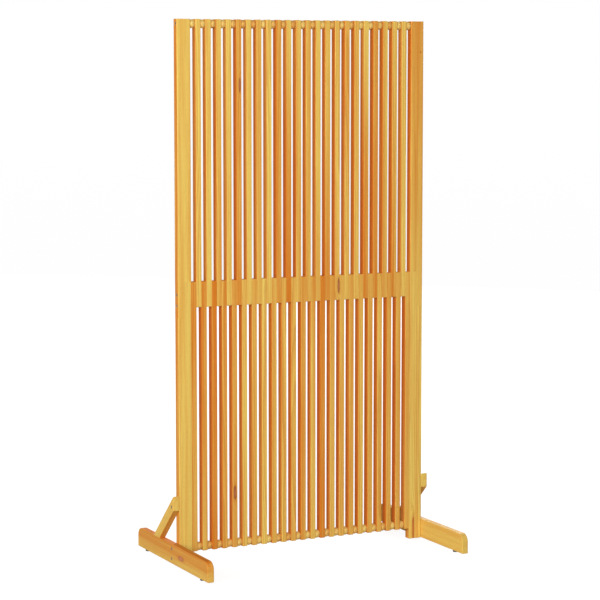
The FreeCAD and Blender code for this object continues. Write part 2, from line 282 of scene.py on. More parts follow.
def group(name, inputs, outputs):
    """Start a shader node group; inputs are (name, kind, value), outputs (name, kind)."""
    tree = bpy.data.node_groups.new(name, "ShaderNodeTree")
    for label, kind, value in inputs:
        socket = tree.interface.new_socket(label, in_out="INPUT", socket_type=f"NodeSocket{kind}")
        socket.default_value = value
    for label, kind in outputs:
        tree.interface.new_socket(label, in_out="OUTPUT", socket_type=f"NodeSocket{kind}")
    given = tree.nodes.new("NodeGroupInput").outputs
    results = tree.nodes.new("NodeGroupOutput").inputs
    return tree, given, results


def placed(tree, inner, **values):
    """Place a node group in a material, with its own values; an underscore is a space."""
    node = tree.nodes.new("ShaderNodeGroup")
    node.node_tree = inner
    for label, value in values.items():
        wire(tree, value, node.inputs[label.replace("_", " ")])
    return node.outputs


def colour(red, green, blue):
    """A colour given as it looks on a screen, 0 to 255, made linear by the sRGB curve."""
    shares = np.array([red, green, blue]) / 255
    linear = np.where(shares > 0.04045, ((shares + 0.055) / 1.055) ** 2.4, shares / 12.92)
    return (*linear.tolist(), 1.0)


PALE_WOOD = colour(241, 210, 106)
WARM_WOOD = colour(220, 129, 40)
GRAIN_WOOD = colour(176, 88, 20)
RING_PITCH = 0.0034
RING_WANDER = 0.030
RING_RIPPLE = 0.0022
RING_RELIEF = 0.4
PATCH_SWING = 1.1
STREAK_SWING = 0.5
FIBRE_DARKENING = 0.22
FIBRE_RELIEF = 0.5
PORE_DARKENING = 0.25
PORE_RELIEF = 0.5
OILED_ROUGHNESS = (0.5, 0.68)


def sawn_timber():
    """Solid timber: growth rings about the pith, fibres, pores and broad changes of colour.

    A ring's place is the distance from the pith, plus what the tree wandered and what a knot
    pushed aside, over the ring pitch.  It darkens slowly through the year and clears at once."""
    tree, given, results = group("sawn timber", (
        ("Log", "Vector", (0, 0, 0)), ("Tone", "Float", 0.5), ("Push", "Float", 0.0),
        ("Pale", "Color", PALE_WOOD), ("Warm", "Color", WARM_WOOD), ("Grain", "Color", GRAIN_WOOD),
        ("Ring pitch", "Float", RING_PITCH), ("Ring strength", "Float", 0.3)),
        (("Colour", "Color"), ("Roughness", "Float"), ("Height", "Float")))
    log = given["Log"]
    flat = vector_node(tree, "MULTIPLY", log, (1, 1, 0))
    wander = noise(tree, log, (14, 14, 0.9), detail=1.0)
    ripple = noise(tree, log, (90, 90, 5), detail=1.0)
    radius = math_node(tree, "ADD", vector_node(tree, "LENGTH", flat),
                       math_node(tree, "MULTIPLY", wander, RING_WANDER))
    radius = math_node(tree, "ADD", radius, math_node(tree, "MULTIPLY", ripple, RING_RIPPLE))
    radius = math_node(tree, "ADD", radius, given["Push"])
    year = math_node(tree, "FRACT", math_node(tree, "DIVIDE", radius, given["Ring pitch"]))
    late = math_node(tree, "MULTIPLY", rising(tree, year, 0.1, 0.9),
                     falling(tree, year, 0.9, 1.0))
    patches = noise(tree, log, (60, 60, 1.6), detail=1.0)
    fibres = noise(tree, log, (1100, 1100, 9), detail=3.0, roughness=0.6)
    streaks = noise(tree, log, (330, 330, 3))
    pores = rising(tree, noise(tree, log, (1500, 1500, 60), detail=1.0), 0.62, 0.72)
    ring_share = math_node(tree, "MULTIPLY", late, given["Ring strength"])
    depth = math_node(tree, "ADD", given["Tone"], swing(tree, patches, PATCH_SWING))
    depth = math_node(tree, "ADD", depth, swing(tree, streaks, STREAK_SWING))
    depth = math_node(tree, "MINIMUM", math_node(tree, "MAXIMUM", depth, 0.0), 1.0)
    base = mixed(tree, depth, given["Pale"], given["Warm"])
    ringed = mixed(tree, ring_share, base, given["Grain"])
    fibre_share = rising(tree, fibres, 0.42, 0.72, high=FIBRE_DARKENING)
    fibred = mixed(tree, fibre_share, ringed, given["Grain"])
    pore_share = math_node(tree, "MULTIPLY", pores, PORE_DARKENING)
    pored = mixed(tree, pore_share, fibred, given["Grain"])
    wire(tree, pored, results["Colour"])
    wire(tree, rising(tree, fibres, 0.3, 0.7, *OILED_ROUGHNESS), results["Roughness"])
    height = math_node(tree, "SUBTRACT", math_node(tree, "MULTIPLY", fibres, FIBRE_RELIEF),
                       math_node(tree, "MULTIPLY", pores, PORE_RELIEF))
    height = math_node(tree, "ADD", height, math_node(tree, "MULTIPLY", late, RING_RELIEF))
    wire(tree, height, results["Height"])
    return tree


KNOT_UNEVENNESS = 0.9
RING_PUSH = 0.007


def knot():
    """A branch that ran square through a board.

    Reach is the distance from the centre in half sizes, made uneven by noise: it is 1 on an
    ellipse.  The core lies inside, a dark bark line along it, and a stain and the pushed growth
    rings around it."""
    tree, given, results = group("knot", (
        ("Place", "Vector", (0, 0, 0)), ("Centre", "Vector", (0, 0, 0)),
        ("Half size", "Vector", (0.005, 1, 0.01))),
        (("Core", "Float"), ("Bark", "Float"), ("Stain", "Float"), ("Push", "Float")))
    offset = vector_node(tree, "SUBTRACT", given["Place"], given["Centre"])
    uneven = noise(tree, given["Place"], (160, 160, 90))
    reach = vector_node(tree, "LENGTH", vector_node(tree, "DIVIDE", offset, given["Half size"]))
    reach = math_node(tree, "ADD", reach, swing(tree, uneven, KNOT_UNEVENNESS))
    wire(tree, falling(tree, reach, 0.75, 1.1), results["Core"])
    wire(tree, math_node(tree, "MULTIPLY", rising(tree, reach, 0.5, 0.85),
                         falling(tree, reach, 0.95, 1.2)), results["Bark"])
    wire(tree, falling(tree, reach, 0.9, 2.2), results["Stain"])
    push = math_node(tree, "MULTIPLY", falling(tree, reach, 0.0, 3.2), RING_PUSH)
    wire(tree, push, results["Push"])
    return tree


SAWN_TIMBER = sawn_timber()
KNOT = knot()


def principled(name):
    """Start a material; give it, its node tree and its shader's sockets."""
    material = bpy.data.materials.new(name)
    material.use_nodes = True
    tree = material.node_tree
    return material, tree, tree.nodes["Principled BSDF"].inputs


def stand_out(tree, shader, height, strength, distance):
    """Let a height stand out of a surface by a small distance."""
    relief = tree.nodes.new("ShaderNodeBump")
    relief.inputs["Strength"].default_value = strength
    relief.inputs["Distance"].default_value = distance
    wire(tree, height, relief.inputs["Height"])
    wire(tree, relief.outputs["Normal"], shader["Normal"])


KNOT_WOOD = colour(176, 104, 72)
STAINED_WOOD = colour(200, 110, 44)
BARK = colour(112, 52, 26)
KNOT_SHARE = 0.85
STAIN_SHARE = 0.4
OIL_SHEEN = 0.08


def oiled_wood(name, knots=(), knot_colour=KNOT_WOOD, bark_share=0.5, shaded_facing=X_AXIS,
               deepening=0.0, **timber):
    """Oiled softwood with knots, each a centre and half sizes in the object's coordinates.

    The pair of faces square to the given facing is made deeper in tone, by deepening: this is
    painted shade on those sides."""
    material, tree, shader = principled(name)
    log = tree.nodes.new("ShaderNodeAttribute")
    log.attribute_name = "log"
    board_tone = tree.nodes.new("ShaderNodeAttribute")
    board_tone.attribute_name = "tone"
    coordinates = tree.nodes.new("ShaderNodeTexCoord").outputs
    place = coordinates["Object"]
    # Painted shade: the pair of faces square to the shaded facing gets a deeper tone, and the tone
    # fed to the timber is the board's own tone with that shade added.
    shaded_side = math_node(tree, "ABSOLUTE", vector_node(
        tree, "DOT_PRODUCT", coordinates["Normal"], shaded_facing.tolist()))
    tone = math_node(tree, "ADD", board_tone.outputs["Fac"],
                     rising(tree, shaded_side, 0.85, 1.0, high=deepening))
    core, bark, stain, push = 0.0, 0.0, 0.0, 0.0
    for centre, half_size in knots:
        found = placed(tree, KNOT, Place=place, Centre=centre, Half_size=half_size)
        core = math_node(tree, "MAXIMUM", core, found["Core"])
        bark = math_node(tree, "MAXIMUM", bark, found["Bark"])
        stain = math_node(tree, "MAXIMUM", stain, found["Stain"])
        push = math_node(tree, "ADD", push, found["Push"])
    wood = placed(tree, SAWN_TIMBER, Log=log.outputs["Vector"], Tone=tone, Push=push, **timber)
    stained = mixed(tree, math_node(tree, "MULTIPLY", stain, STAIN_SHARE), wood["Colour"],
                    STAINED_WOOD)
    knotted = mixed(tree, math_node(tree, "MULTIPLY", core, KNOT_SHARE), stained, knot_colour)
    barked = mixed(tree, math_node(tree, "MULTIPLY", bark, bark_share), knotted, BARK)
    wire(tree, barked, shader["Base Color"])
    wire(tree, wood["Roughness"], shader["Roughness"])
    shader["Specular IOR Level"].default_value = OIL_SHEEN
    stand_out(tree, shader, wood["Height"], strength=0.35, distance=0.0003)
    return material


# A letter names the tone of each board, pale, honey, amber or russet, from the left post to the
# right one, at its top and at its bottom.  They follow mean colours measured in the photograph.
TONES = {"p": 0.12, "h": 0.34, "a": 0.55, "r": 0.8}
UPPER_TOPS = "pphpaphpaphhphhhhpahhp"
UPPER_BOTTOMS = "pphpaphparhhphhhhrahap"
LOWER_TOPS = "arraahhphhhahrhhhhahaah"
LOWER_BOTTOMS = "ahraahhphhhahrhhhhahaah"
BAND_DEEPENING = 0.08
SLAT_KNOTS = (
    ((-0.234, 0, 1.586), (0.0032, 1, 0.021)),
    ((-0.255, 0, 0.226), (0.0050, 1, 0.022)),
    ((0.132, 0, 0.906), (0.0036, 1, 0.024)),
)
# The slats' side faces are made deeper in tone: painted shade in the gaps between the slats.
SLAT_WOOD = oiled_wood("slat wood", SLAT_KNOTS, deepening=0.55)

rods_low, rods_high = span("tie_rods")
band_bottom = span("upper_slat_01")[0][2]
band_top = span("lower_slat_01")[1][2]
TOP_ROD = rods_high[2] - ROD_RADIUS
MIDDLE_ROD = (band_bottom + band_top) / 2
BOTTOM_ROD = rods_low[2] + ROD_RADIUS


def stepped_hole(base, inward, *steps):
    """The cutter of a round hole that narrows in steps, each a radius and how deep it ends."""
    radii, depths = [], [-OVERRUN]
    for radius, depth in steps:
        radii += [radius, radius]
        depths += [depth, depth]
    return turned(radii, depths[:-1], base, inward, HOLE_SIDES)


def slat_blank(name, low, high, rods):
    """One rounded and bored slat."""
    slat = made(name, prism(rectangle(low, high), 2, low[2], high[2]))
    round_edges(slat, lambda start, stop: np.where(
        np.abs(stop - start)[:, 2] > LONG_EDGE, SLAT_ROUND, END_ROUND))
    drill(slat, *[stepped_hole((low[0], 0, height), X_AXIS,
                               (BORE_RADIUS, high[0] - low[0] + OVERRUN)) for height in rods])
    return slat


def slats(kind, bottoms, tops, rods, first_number):
    """A set of like slats, each from its own board; bottoms and tops give their tones."""
    names = [f"{kind}_slat_{number:02d}" for number in range(1, len(tops) + 1)]
    first_low, first_high = span(names[0])
    blank = slat_blank(kind + "_slat_blank", first_low, first_high, rods)
    for number, node in enumerate(names):
        low, high = span(node)
        mesh = blank.data.copy()
        mesh.transform(Matrix.Translation(low - first_low))
        slat = bpy.data.objects.new(node + "_wood", mesh)
        bpy.context.scene.collection.objects.link(slat)
        lay_grain(slat, first_number + number, bottoms[number], tops[number])
        dress(slat, SLAT_WOOD, node)
    bpy.data.objects.remove(blank)


def dress(piece, material, node):
    """Shade a piece, give it its material, and let it stand for its CAD piece."""
    smooth(piece)
    piece.data.materials.clear()
    piece.data.materials.append(material)
    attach(piece, "root")
    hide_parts(node)


def tones_of(letters, deepening=0.0):
    """The tones that letters name, all deepened alike."""
    return [TONES[letter] + deepening for letter in letters]


slats("upper", tones_of(UPPER_BOTTOMS, BAND_DEEPENING), tones_of(UPPER_TOPS),
      (MIDDLE_ROD, TOP_ROD), first_number=100)
slats("lower", tones_of(LOWER_BOTTOMS), tones_of(LOWER_TOPS, BAND_DEEPENING),
      (BOTTOM_ROD, MIDDLE_ROD), first_number=200)


# ---- Spacer discs --------------------------------------------------------------------------
# Turned like flat beads, as thick as a slat is wide, and threaded on the top and bottom rods
# between the slats.  Their grain runs across the rod, so that no two rims look alike.

DISC_DROP = 0.0032
DISC_STEPS = 12
DISC_SIDES = 48
DISC_WOOD = oiled_wood("disc wood", Pale=colour(244, 214, 122), Ring_strength=0.3)
# The letters of the discs name their tones, and follow the photograph like those of the slats.
TOP_DISCS = "pphphhaphhaphphphppphpp"
BOTTOM_DISCS = "hahppppphapppppphpphpp"


def disc(left, thickness, radius, height):
    """A bored disc whose rim is an arc of a circle, DISC_DROP lower at the faces."""
    half = thickness / 2
    bow = (half ** 2 + DISC_DROP ** 2) / (2 * DISC_DROP)
    along = np.linspace(-half, half, DISC_STEPS + 1)
    rim = radius - bow + np.sqrt(bow ** 2 - along ** 2)
    return turned([BORE_RADIUS, *rim, BORE_RADIUS], [-half, *along, half],
                  (left + half, 0, height), X_AXIS, DISC_SIDES, hollow=True)


def spacer_discs(node, letters, height, first_number):
    """The discs of one rod, one pitch apart; letters give their tones."""
    low, high = span(node)
    thickness = (high[0] - low[0]) / (2 * len(letters) - 1)
    radius = (high[1] - low[1]) / 2
    shells, logs, tones = [], [], []
    for number, letter in enumerate(letters):
        left = low[0] + 2 * number * thickness
        shells.append(disc(left, thickness, radius, height))
        points = shells[-1][0]
        logs.append(sawn(points, first_number + number, points.mean(axis=0), Z_AXIS, Y_AXIS))
        tones += [TONES[letter]] * len(points)
    discs = made(node + "_wood", *shells)
    note_wood(discs, np.concatenate(logs), tones)
    dress(discs, DISC_WOOD, node)


spacer_discs("top_spacer_discs", TOP_DISCS, TOP_ROD, first_number=300)
spacer_discs("bottom_spacer_discs", BOTTOM_DISCS, BOTTOM_ROD, first_number=330)


# ---- Posts ---------------------------------------------------------------------------------
# An upper and a lower length on each side, joined at the band by a half-lap: the upper length
# keeps the outer half of the lap, the lower one the inner half.  Every nut and screw is sunk.

SIDES = {"left": -1, "right": 1}
POST_ROUND = 0.0025
JOINT_ROUND = 0.0005
LAP_STRIP = 0.022
SINK_RADIUS = 0.006
SINK_DEPTH = 0.003
BARREL_RADIUS = 0.004
NUT_LENGTH = 0.022
NAIL_RADIUS = 0.00125
SCREW_RADIUS = 0.0025
SCREW_HEAD_RADIUS = 0.005
PLAY = 0.0001
BRACE_WIDTH = 0.035
STAY_SINK = 0.012
STAY_SCREW_LENGTH = 0.080
NAIL_SETBACK = 0.065
NAIL_DEPTH = 0.016
LAP_SCREW_LENGTH = 0.038
FOOT_SCREW_LENGTH = 0.050
FOOT_SCREW_RISE = 0.016
# The posts' side faces are made deeper in tone: painted shade.
POST_WOOD = oiled_wood("post wood", (
    ((0.426, 0, 0.045), (0.0040, 1, 0.042)),
    ((0.446, 0, 1.695), (0.0020, 1, 0.0030)),
), knot_colour=colour(192, 104, 54), bark_share=0.2, deepening=0.6, Ring_strength=0.3)
POST_TONES = {("left", "upper"): (0.30, 0.18), ("left", "lower"): (0.05, 0.16),
              ("right", "upper"): (0.24, 0.74), ("right", "lower"): (0.18, 0.20)}
POST_LOGS = {("left", "upper"): 410, ("left", "lower"): 411,
             ("right", "upper"): 431, ("right", "lower"): 432}

post_low, post_high = span("right_lower_post")
foot_low, foot_high = span("right_foot")
brace_low, brace_high = span("right_brace")
screws_low, screws_high = span("wood_screws")
nuts_high = span("sleeve_nuts")[1]
POST_FACE = post_high[0]
FOOT_FACE = foot_high[0]
FOOT_MIDDLE = (foot_low[0] + foot_high[0]) / 2
HEAD_DEPTH = FOOT_FACE - nuts_high[0]
BRACE_SLOPE = math.atan2(brace_high[2] - brace_low[2], brace_high[1] - brace_low[1])
BRACE_CUT = BRACE_WIDTH / math.cos(BRACE_SLOPE)
BRACE_TOE = brace_high[1] - BRACE_WIDTH / math.sin(BRACE_SLOPE)
LAP_SCREW = screws_high[2] - SCREW_HEAD_RADIUS
FOOT_SCREW = foot_low[2] + FOOT_SCREW_RISE
BRACE_SCREW = brace_high[2] - BRACE_CUT / 2 + brace_low[1] * math.tan(BRACE_SLOPE)
STAY_SCREW = screws_high[1] - SCREW_HEAD_RADIUS
NAIL_PLACES = (foot_low[1] + NAIL_SETBACK, foot_high[1] - NAIL_SETBACK)
NUTS = ((TOP_ROD, POST_FACE), (MIDDLE_ROD, POST_FACE), (BOTTOM_ROD, FOOT_FACE))
SCREWS = ((LAP_SCREW, POST_FACE, LAP_SCREW_LENGTH), (FOOT_SCREW, FOOT_FACE, FOOT_SCREW_LENGTH),
          (BRACE_SCREW, FOOT_FACE, FOOT_SCREW_LENGTH))


def fastener_holes(side):
    """The cutters of all the holes of one side, for nuts, screws and nails."""
    sink = (SINK_RADIUS, SINK_DEPTH)
    shank = SCREW_RADIUS + PLAY
    holes = []
    for height, face in NUTS:
        through = face - post_low[0] + OVERRUN
        barrel = (BARREL_RADIUS + PLAY, HEAD_DEPTH + NUT_LENGTH + PLAY)
        holes.append(stepped_hole((side * face, 0, height), -side * X_AXIS, sink, barrel,
                                  (BORE_RADIUS, through)))
    for height, face, length in SCREWS:
        holes.append(stepped_hole((side * face, 0, height), -side * X_AXIS, sink,
                                  (shank, HEAD_DEPTH + length)))
    holes.append(stepped_hole((side * FOOT_MIDDLE, STAY_SCREW, foot_low[2]), Z_AXIS,
                              (SINK_RADIUS, STAY_SINK), (shank, STAY_SINK + STAY_SCREW_LENGTH)))
    for place in NAIL_PLACES:
        holes.append(stepped_hole((side * FOOT_MIDDLE, place, foot_low[2]), Z_AXIS,
                                  (NAIL_RADIUS + PLAY, NAIL_DEPTH)))
    return holes


def drill_for_fasteners(piece, side):
    """Drill every hole of a side that reaches into a piece's box."""
    points = places(piece.data)
    low, high = points.min(axis=0), points.max(axis=0)
    drill(piece, *[(corners, faces) for corners, faces in fastener_holes(side)
                   if np.all(corners.max(axis=0) > low) and np.all(corners.min(axis=0) < high)])


def post(side_name, half, outline, outer, inner):
    """One length of a post, from its outline in pairs of height and place across.

    The outline runs anticlockwise on the right side, so it is turned round on the left."""
    side = SIDES[side_name]
    node = f"{side_name}_{half}_post"
    low, high = span(node)
    piece = made(node + "_wood", prism(np.array(outline)[::side], 1, low[1], high[1]))

    def radius_of(start, stop):
        """The long edges of the faces are rounder than the edges of the joint and the ends."""
        across = np.abs((start + stop) / 2)[:, 0]
        at_side = np.isclose(across, outer) | np.isclose(across, inner)
        upright = np.abs(stop - start)[:, 2] > SINK_DEPTH
        return np.where(upright & at_side, POST_ROUND, JOINT_ROUND)

    round_edges(piece, radius_of)
    drill_for_fasteners(piece, side)
    lay_grain(piece, POST_LOGS[side_name, half], *POST_TONES[side_name, half])
    dress(piece, POST_WOOD, node)


for side_name, side in SIDES.items():
    upper_low, upper_high = span(f"{side_name}_upper_post")
    lower_low, lower_high = span(f"{side_name}_lower_post")
    inner, outer = sorted((upper_low[0], upper_high[0]), key=abs)
    lap_face = outer - side * LAP_STRIP
    shoulder, lap_end = lower_high[2], upper_low[2]
    post(side_name, "upper", [
        (lap_end, outer), (lap_end, lap_face), (shoulder, lap_face),
        (shoulder, inner), (upper_high[2], inner), (upper_high[2], outer)], abs(outer), abs(inner))
    post(side_name, "lower", [
        (lower_low[2], outer), (lower_low[2], inner), (shoulder, inner),
        (shoulder, lap_face), (lap_end, lap_face), (lap_end, outer)], abs(outer), abs(inner))


# ---- Feet ----------------------------------------------------------------------------------
# Softwood boards on edge against the outer faces of the posts, their upper corners rounded.
# The bottom tie rod and a wood screw hold each of them.

FOOT_LOG = 500
FOOT_NOSE = 0.028
SAME_PLACE = 1e-6
FOOT_EASE = 0.0025
NOSE_STEPS = 14
FOOT_TONES = {"left": (0.1, 0.85), "right": (0.0, 0.08)}
FOOT_WOOD = oiled_wood("foot wood", (
    ((-0.480, -0.079, 0.039), (0.05, 0.022, 0.0070)),
), knot_colour=colour(200, 122, 92), bark_share=0.3, Ring_strength=0.45)


def foot_outline(low, high):
    """A board's side: straight below, its two upper corners quarter circles."""
    turn = np.linspace(0, math.pi / 2, NOSE_STEPS + 1)
    arc = FOOT_NOSE * np.stack([np.cos(turn), np.sin(turn)], axis=1)
    rear = (high[1] - FOOT_NOSE, high[2] - FOOT_NOSE) + arc
    front = (low[1] + FOOT_NOSE, high[2] - FOOT_NOSE) + arc[::-1] * (-1, 1)
    return np.concatenate([[(low[1], low[2]), (high[1], low[2])], rear, front])


def in_side_face(start, stop):
    """Whether edges lie in a piece's left or right face."""
    return np.abs(stop - start)[:, 0] < SAME_PLACE


for side_name, side in SIDES.items():
    node = f"{side_name}_foot"
    low, high = span(node)
    foot = made(node + "_wood", prism(foot_outline(low, high), 0, low[0], high[0]))
    round_edges(foot, lambda start, stop: np.where(in_side_face(start, stop), FOOT_EASE, 0.0))
    drill_for_fasteners(foot, side)
    lay_grain(foot, FOOT_LOG + side, *FOOT_TONES[side_name], along=Y_AXIS, through=X_AXIS)
    dress(foot, FOOT_WOOD, node)


# ---- Braces --------------------------------------------------------------------------------
# Short softwood bars that stay the posts from behind.  Above they are cut upright, flush with
# the front of the post; below they are cut level and sit on the foot.

BRACE_LOG = 510
BRACE_TONES = (0.16, 0.14)
BRACE_GRAIN = np.array([0, math.cos(BRACE_SLOPE), -math.sin(BRACE_SLOPE)])
# The braces' long upper and under faces are made deeper in tone: painted shade.
BRACE_WOOD = oiled_wood("brace wood", shaded_facing=np.cross(X_AXIS, BRACE_GRAIN), deepening=0.5,
                        Ring_strength=0.3)

for side_name, side in SIDES.items():
    node = f"{side_name}_brace"
    low, high = span(node)
    outline = np.array([(BRACE_TOE, low[2]), (high[1], low[2]), (low[1], high[2]),
                        (low[1], high[2] - BRACE_CUT)])
    brace = made(node + "_wood", prism(outline, 0, low[0], high[0]))
    round_edges(brace, lambda start, stop: np.where(
        in_side_face(start, stop) & (np.maximum(start, stop)[:, 2] > brace_low[2] + FOOT_EASE),
        FOOT_EASE, 0.0))
    drill_for_fasteners(brace, side)
    lay_grain(brace, BRACE_LOG + side, *BRACE_TONES, along=BRACE_GRAIN, through=X_AXIS)
    dress(brace, BRACE_WOOD, node)


# ---- Tie rods and sleeve nuts --------------------------------------------------------------
# Zinc-plated steel.  Each rod runs from side to side and is threaded at its ends, where a
# sleeve nut with a hexagon socket draws the posts together.

ROD_END_DEPTH = 0.008
THREAD_LENGTH = 0.024
ROD_THREAD_PITCH = 0.001
ROD_THREAD_DEPTH = 0.0003
THREAD_STEPS = 6
METAL_SIDES = 24
NUT_HEAD_RADIUS = 0.0055
HEAD_THICKNESS = 0.002
HEAD_EASE = 0.0004
SOCKET_RADIUS = 0.0023
SOCKET_DEPTH = 0.004
SOCKET_SIDES = 6
ZINC_METALLIC = 0.85
ZINC_ROUGHNESS = (0.38, 0.56)
STREAK_SHARE = 0.35


def steel():
    """Dull zinc: darker and rougher in patches, with fine streaks from the tumbling barrel."""
    material, tree, shader = principled("zinc steel")
    place = tree.nodes.new("ShaderNodeTexCoord").outputs["Object"]
    patches = noise(tree, place, (240, 240, 240), detail=3.0)
    streaks = noise(tree, place, (900, 2600, 2600))
    tint = mixed(tree, rising(tree, patches, 0.35, 0.65), colour(108, 100, 104),
                 colour(146, 140, 142))
    tint = mixed(tree, math_node(tree, "MULTIPLY", streaks, STREAK_SHARE), tint, colour(92, 84, 86))
    wire(tree, tint, shader["Base Color"])
    shader["Metallic"].default_value = ZINC_METALLIC
    wire(tree, rising(tree, patches, 0.3, 0.7, *ZINC_ROUGHNESS), shader["Roughness"])
    stand_out(tree, shader, streaks, strength=0.25, distance=0.00005)
    return material


ZINC_STEEL = steel()


def threaded(radius, heights, pitch, depth):
    """Radii of a screw thread, ring by ring: a triangle wave that climbs by pitch each turn."""
    turns = heights[:, None] / pitch - np.arange(METAL_SIDES)[None, :] / METAL_SIDES
    return radius - depth * np.abs(2 * (turns - np.floor(turns)) - 1)


def tie_rod(height, face):
    """A plain rod with a thread cut into both ends."""
    reach = face - ROD_END_DEPTH
    start = np.arange(0, THREAD_LENGTH, ROD_THREAD_PITCH / THREAD_STEPS)
    heights = np.concatenate([start, 2 * reach - start[::-1]])
    radii = threaded(ROD_RADIUS, heights, ROD_THREAD_PITCH, ROD_THREAD_DEPTH)
    return turned(radii, heights, (-reach, 0, height), X_AXIS, METAL_SIDES)


def shell_of(piece):
    """Take a piece apart into its points and faces, and delete it."""
    faces = [list(polygon.vertices) for polygon in piece.data.polygons]
    shell = (places(piece.data), faces)
    bpy.data.objects.remove(piece)
    return shell


def set_in(shell, side, face, height):
    """Lay a fastener made along +Z from the origin into its hole in an outer side face."""
    points, faces = shell
    laid = np.stack([-side * points[:, 2], side * points[:, 0], -points[:, 1]], axis=1)
    return laid + (side * (face - HEAD_DEPTH), 0, height), faces


def sleeve_nut():
    """A flat head on a barrel, with a hexagon socket and a blind hole for the rod."""
    head = [(NUT_HEAD_RADIUS - HEAD_EASE, 0), (NUT_HEAD_RADIUS, HEAD_EASE),
            (NUT_HEAD_RADIUS, HEAD_THICKNESS)]
    barrel = [(BARREL_RADIUS, HEAD_THICKNESS), (BARREL_RADIUS, NUT_LENGTH - HEAD_EASE),
              (BARREL_RADIUS - HEAD_EASE, NUT_LENGTH)]
    radii, heights = np.array(head + barrel).T
    nut = made("sleeve_nut_blank", turned(radii, heights, np.zeros(3), Z_AXIS, METAL_SIDES))
    rod_start = ROD_END_DEPTH - HEAD_DEPTH
    socket = turned([SOCKET_RADIUS] * 2, [-OVERRUN, SOCKET_DEPTH], np.zeros(3), Z_AXIS,
                    SOCKET_SIDES)
    thread = turned([ROD_RADIUS] * 2, [rod_start, NUT_LENGTH + OVERRUN], np.zeros(3), Z_AXIS,
                    METAL_SIDES)
    drill(nut, socket, thread)
    return shell_of(nut)


rods = made("tie_rods_steel", *[tie_rod(height, face) for height, face in NUTS])
dress(rods, ZINC_STEEL, "tie_rods")
nut_shell = sleeve_nut()
nuts = made("sleeve_nuts_steel", *[set_in(nut_shell, side, face, height)
                                   for side in SIDES.values() for height, face in NUTS])
dress(nuts, ZINC_STEEL, "sleeve_nuts")


# ---- Wood screws ---------------------------------------------------------------------------
# Zinc-plated and flat-headed, with a cross recess.  Each side has four: through the lap below
# the middle nut, through the foot, through the brace, and up through the foot into the brace.

RECESS_REACH = 0.0026
RECESS_HALF_WIDTH = 0.0005
RECESS_DEPTH = 0.0016
SCREW_POINT = 0.006
SCREW_THREAD_PITCH = 0.0022
SCREW_THREAD_DEPTH = 0.0007
SCREW_TIP_RADIUS = 0.0002


def cross():
    """The outline of a cross recess, anticlockwise: the same corner turned four times."""
    arm = np.array([(RECESS_REACH, -RECESS_HALF_WIDTH), (RECESS_REACH, RECESS_HALF_WIDTH),
                    (RECESS_HALF_WIDTH, RECESS_HALF_WIDTH)])
    quarter = np.array([[0, 1], [-1, 0]])
    return np.concatenate([arm @ np.linalg.matrix_power(quarter, turn) for turn in range(4)])


def wood_screw(length):
    """A screw along +Z from the origin, its thread over the shank's last two thirds."""
    plain = length / 3
    heights = np.arange(plain, length, SCREW_THREAD_PITCH / THREAD_STEPS)
    taper = np.clip((length - heights) / SCREW_POINT, 0, 1)[:, None]
    thread = threaded(SCREW_RADIUS, heights, SCREW_THREAD_PITCH, SCREW_THREAD_DEPTH)
    thread = thread * taper + SCREW_TIP_RADIUS * (1 - taper)
    head = [(SCREW_HEAD_RADIUS - HEAD_EASE, 0), (SCREW_HEAD_RADIUS, HEAD_EASE),
            (SCREW_HEAD_RADIUS, HEAD_THICKNESS), (SCREW_RADIUS, HEAD_THICKNESS),
            (SCREW_RADIUS, plain - HEAD_EASE)]
    head_radii, head_heights = np.array(head).T
    radii = np.concatenate([np.repeat(head_radii[:, None], METAL_SIDES, axis=1), thread])
    screw = made("wood_screw_blank", turned(radii, np.concatenate([head_heights, heights]),
                                            np.zeros(3), Z_AXIS, METAL_SIDES))
    drill(screw, prism(cross(), 2, -OVERRUN, RECESS_DEPTH))
    return shell_of(screw)


screw_shells = []
stay_shell = wood_screw(STAY_SCREW_LENGTH)
for side in SIDES.values():
    for height, face, length in SCREWS:
        screw_shells.append(set_in(wood_screw(length), side, face, height))
    points, faces = stay_shell
    place = (side * FOOT_MIDDLE, STAY_SCREW, screws_low[2])
    screw_shells.append((points + place, faces))
dress(made("wood_screws_steel", *screw_shells), ZINC_STEEL, "wood_screws")


# ---- Glides and their nails ----------------------------------------------------------------
# Moulded black polypropylene buttons under both ends of each foot.  A steel nail, its head sunk
# in the button, holds each of them.

GLIDE_EASE = 0.001
GLIDE_RECESS_RADIUS = 0.0036
NAIL_HEAD_THICKNESS = 0.001
NAIL_POINT = 0.003
glides_high = span("glides")[1]
nails_low, nails_high = span("glide_nails")
GLIDE_RADIUS = glides_high[0] - FOOT_MIDDLE
GLIDE_RECESS = nails_low[2] + NAIL_HEAD_THICKNESS
GLIDE_PLACES = [(side * FOOT_MIDDLE, place) for side in SIDES.values() for place in NAIL_PLACES]


def black_plastic():
    """A fine moulded grain, scuffed grey in places."""
    material, tree, shader = principled("black plastic")
    place = tree.nodes.new("ShaderNodeTexCoord").outputs["Object"]
    grain = noise(tree, place, (2500, 2500, 2500))
    scuffs = rising(tree, noise(tree, place, (300, 300, 900), detail=3.0), 0.52, 0.75)
    wire(tree, mixed(tree, scuffs, colour(26, 25, 25), colour(58, 55, 52)), shader["Base Color"])
    wire(tree, rising(tree, grain, 0.3, 0.7, low=0.42, high=0.6), shader["Roughness"])
    stand_out(tree, shader, grain, strength=0.3, distance=0.0001)
    return material


def glide(x, y):
    """A button with a rounded lower edge and a stepped hole, from the floor up."""
    top = glides_high[2]
    nail = NAIL_RADIUS + PLAY
    arc = np.linspace(0, math.pi / 2, ROUND_STEPS + 1)
    rounded = np.stack([GLIDE_RADIUS - GLIDE_EASE * (1 - np.sin(arc)),
                        GLIDE_EASE * (1 - np.cos(arc))], axis=1)
    profile = [(GLIDE_RECESS_RADIUS, 0), *rounded, (GLIDE_RADIUS, top), (nail, top),
               (nail, GLIDE_RECESS), (GLIDE_RECESS_RADIUS, GLIDE_RECESS)]
    radii, heights = np.array(profile).T
    return turned(radii, heights, (x, y, 0), Z_AXIS, 2 * METAL_SIDES, hollow=True)


